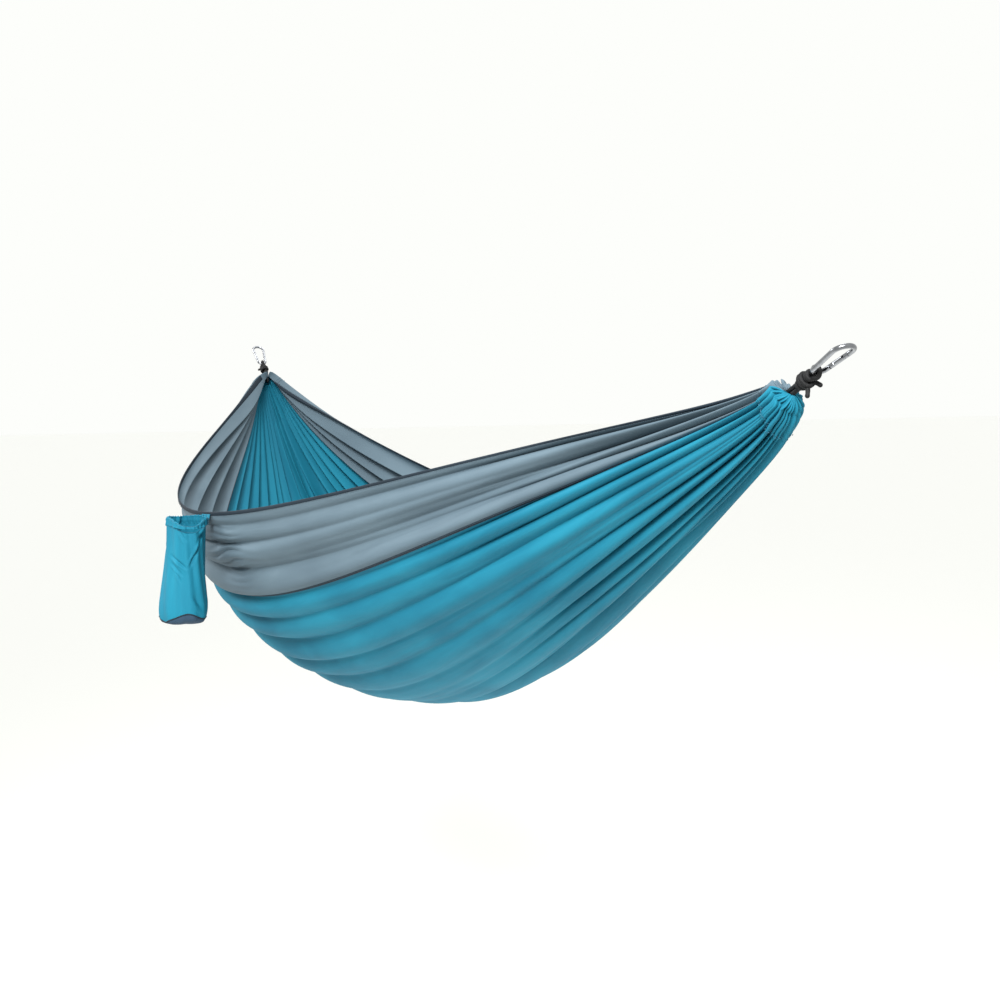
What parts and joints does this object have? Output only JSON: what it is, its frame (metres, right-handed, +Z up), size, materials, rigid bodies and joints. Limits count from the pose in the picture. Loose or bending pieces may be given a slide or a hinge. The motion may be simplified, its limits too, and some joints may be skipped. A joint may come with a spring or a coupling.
{
  "type": "camping hammock",
  "caption": "Gathered-end nylon camping hammock with a wide coloured centre panel, grey side panels, rope ends with carabiners and a stuff sack sewn to one hem.",
  "frame": {"origin": "where the head carabiner is clipped in: on the carabiner's middle plane, at the inside of its outer bend", "axes": "+X from the foot end to the head end along the hammock, +Z up, -Y to the side that carries the stuff sack"},
  "size_m": [2.3564, 0.8356, 0.7511],
  "materials": {
    "turquoise_nylon": "fine woven parachute nylon with a soft sheen",
    "grey_nylon": "fine woven parachute nylon with a soft sheen",
    "black_rope": "braided polyester sheath",
    "thread": "bonded polyester sewing thread",
    "nickel_steel": "bright nickel plate",
    "pin_steel": "plain steel, peened ends",
    "spring_steel": "plain spring wire"
  },
  "bodies": {
    "cloth": {"centre_panel": "turquoise_nylon", "sack_side_panel": "grey_nylon", "plain_side_panel": "grey_nylon", "sack_side_seam": "grey_nylon", "plain_side_seam": "grey_nylon", "sack_side_hem": "grey_nylon", "plain_side_hem": "grey_nylon", "head_sleeve": "grey_nylon", "foot_sleeve": "grey_nylon", "head_sleeve_stitching": "thread", "foot_sleeve_stitching": "thread", "head_rope": "black_rope", "foot_rope": "black_rope", "head_knot": "black_rope", "foot_knot": "black_rope"},
    "head_carabiner": {"head_carabiner_frame": "nickel_steel", "head_hinge_pin": "pin_steel", "head_latch_pin": "pin_steel"},
    "head_gate_body": {"head_gate": "nickel_steel", "head_gate_spring": "spring_steel"},
    "foot_carabiner": {"foot_carabiner_frame": "nickel_steel", "foot_hinge_pin": "pin_steel", "foot_latch_pin": "pin_steel"},
    "foot_gate_body": {"foot_gate": "nickel_steel", "foot_gate_spring": "spring_steel"},
    "sack": {"sack_body": "turquoise_nylon", "sack_mouth_hem": "turquoise_nylon", "sack_base": "grey_nylon", "sack_base_binding": "grey_nylon", "sack_tacks": "thread"}
  },
  "joints": [
    {"name": "head_carabiner_swing", "type": "hinge", "parent": "cloth", "child": "head_carabiner", "pos_m": [-0.05346, 0, -0.02724], "axis": [0, 1, 0], "range_deg": [-75, 75]},
    {"name": "head_gate_open", "type": "hinge", "parent": "head_carabiner", "child": "head_gate_body", "pos_m": [-0.03647, 0.01003, -0.01858], "axis": [0.454, 0, -0.891], "range_deg": [0, 26], "stiffness_Nm_per_rad": 0.04, "springref_deg": -68.75},
    {"name": "foot_carabiner_swing", "type": "hinge", "parent": "cloth", "child": "foot_carabiner", "pos_m": [-2.30161, 0, -0.01345], "axis": [0, 1, 0], "range_deg": [-75, 75]},
    {"name": "foot_gate_open", "type": "hinge", "parent": "foot_carabiner", "child": "foot_gate_body", "pos_m": [-2.31556, -0.01003, -0.00044], "axis": [-0.682, 0, -0.7314], "range_deg": [0, 26], "stiffness_Nm_per_rad": 0.04, "springref_deg": -68.75},
    {"name": "sack_swing", "type": "hinge", "parent": "cloth", "child": "sack", "pos_m": [-1.38662, -0.3727, -0.29656], "axis": [-1, 0, 0], "range_deg": [0, 70]}
  ]
}
